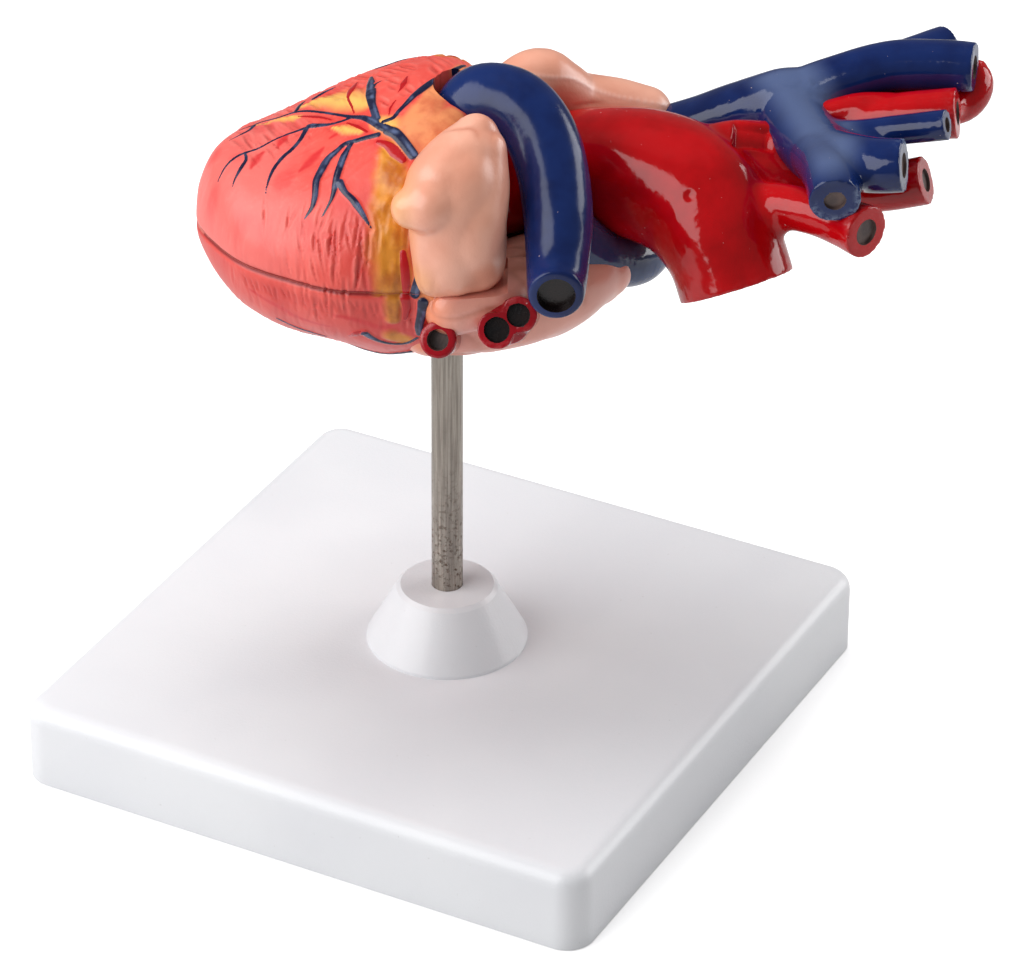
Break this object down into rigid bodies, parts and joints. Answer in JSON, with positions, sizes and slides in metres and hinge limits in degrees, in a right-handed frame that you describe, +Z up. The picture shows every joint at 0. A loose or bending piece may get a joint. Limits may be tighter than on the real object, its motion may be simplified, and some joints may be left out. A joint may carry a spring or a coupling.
{
  "type": "human heart anatomy model on a stand",
  "caption": "Life-size demonstration heart with great vessels on a rod and square base; the heart lifts off, its front wall lifts away to show the chambers, and the rod turns.",
  "frame": {"origin": "centre of the square base's underside, on the rod's axis", "axes": "+Z up along the rod, +X to the base's right side, +Y to its far side; the heart is turned 27.75 degrees about +Z"},
  "size_m": [0.1914, 0.1741, 0.1882],
  "materials": {
    "base_plastic": "white moulded plastic with a satin sheen",
    "underplate_plastic": "grey-white plastic sheet",
    "rod_steel": "bright steel, rust-speckled low down",
    "fastener_steel": "plated steel",
    "bush_plastic": "dark plastic",
    "ventricle_paint": "salmon-red satin paint over carved plastic, with yellow fat, blue and red coronary vessels",
    "atrium_paint": "peach satin paint",
    "artery_paint": "crimson gloss paint",
    "vein_paint": "navy gloss paint",
    "pale_vein_paint": "blue gloss paint",
    "lung_vein_paint": "dark red gloss paint",
    "valve_paint": "cream satin paint",
    "magnet_metal": "nickel plate"
  },
  "bodies": {
    "stand": {"base_shell": "base_plastic", "base_underplate": "underplate_plastic", "underplate_screws": "fastener_steel", "stand_cone": "base_plastic"},
    "rod": {"support_rod": "rod_steel", "rod_screw": "fastener_steel", "rod_washer": "fastener_steel"},
    "heart": {"rod_bush": "bush_plastic", "rear_ventricles": "ventricle_paint", "rear_septum": "ventricle_paint", "left_atrium": "atrium_paint", "right_atrium": "atrium_paint", "pulmonary_trunk": "vein_paint", "right_pulmonary_artery": "pale_vein_paint", "aorta": "artery_paint", "brachiocephalic_artery": "artery_paint", "right_common_carotid_artery": "artery_paint", "right_subclavian_artery": "artery_paint", "left_common_carotid_artery": "artery_paint", "left_subclavian_artery": "artery_paint", "superior_vena_cava": "vein_paint", "right_brachiocephalic_vein": "vein_paint", "right_external_jugular_vein": "vein_paint", "left_brachiocephalic_vein": "vein_paint", "left_subclavian_vein": "vein_paint", "inferior_thyroid_vein": "vein_paint", "inferior_vena_cava": "vein_paint", "left_superior_pulmonary_veins": "lung_vein_paint", "left_inferior_pulmonary_vein": "lung_vein_paint", "right_pulmonary_veins": "lung_vein_paint", "mitral_valve": "valve_paint", "tricuspid_valve": "valve_paint", "aortic_valve": "valve_paint", "pulmonary_valve": "valve_paint", "left_papillary_muscles": "ventricle_paint", "right_papillary_muscles": "ventricle_paint", "body_magnets": "magnet_metal"},
    "front_cover": {"front_wall": "ventricle_paint", "front_septum": "ventricle_paint", "left_auricle": "atrium_paint", "cover_magnets": "magnet_metal"}
  },
  "joints": [
    {"name": "rod_swivel", "type": "hinge", "parent": "stand", "child": "rod", "pos_m": [0, 0, 0.022], "axis": [0, 0, 1], "continuous": true},
    {"name": "heart_lift", "type": "slide", "parent": "rod", "child": "heart", "axis": [0, 0, 1], "range_m": [0, 0.04]},
    {"name": "cover_lift", "type": "slide", "parent": "heart", "child": "front_cover", "axis": [0, 0, 1], "range_m": [0, 0.06]}
  ]
}
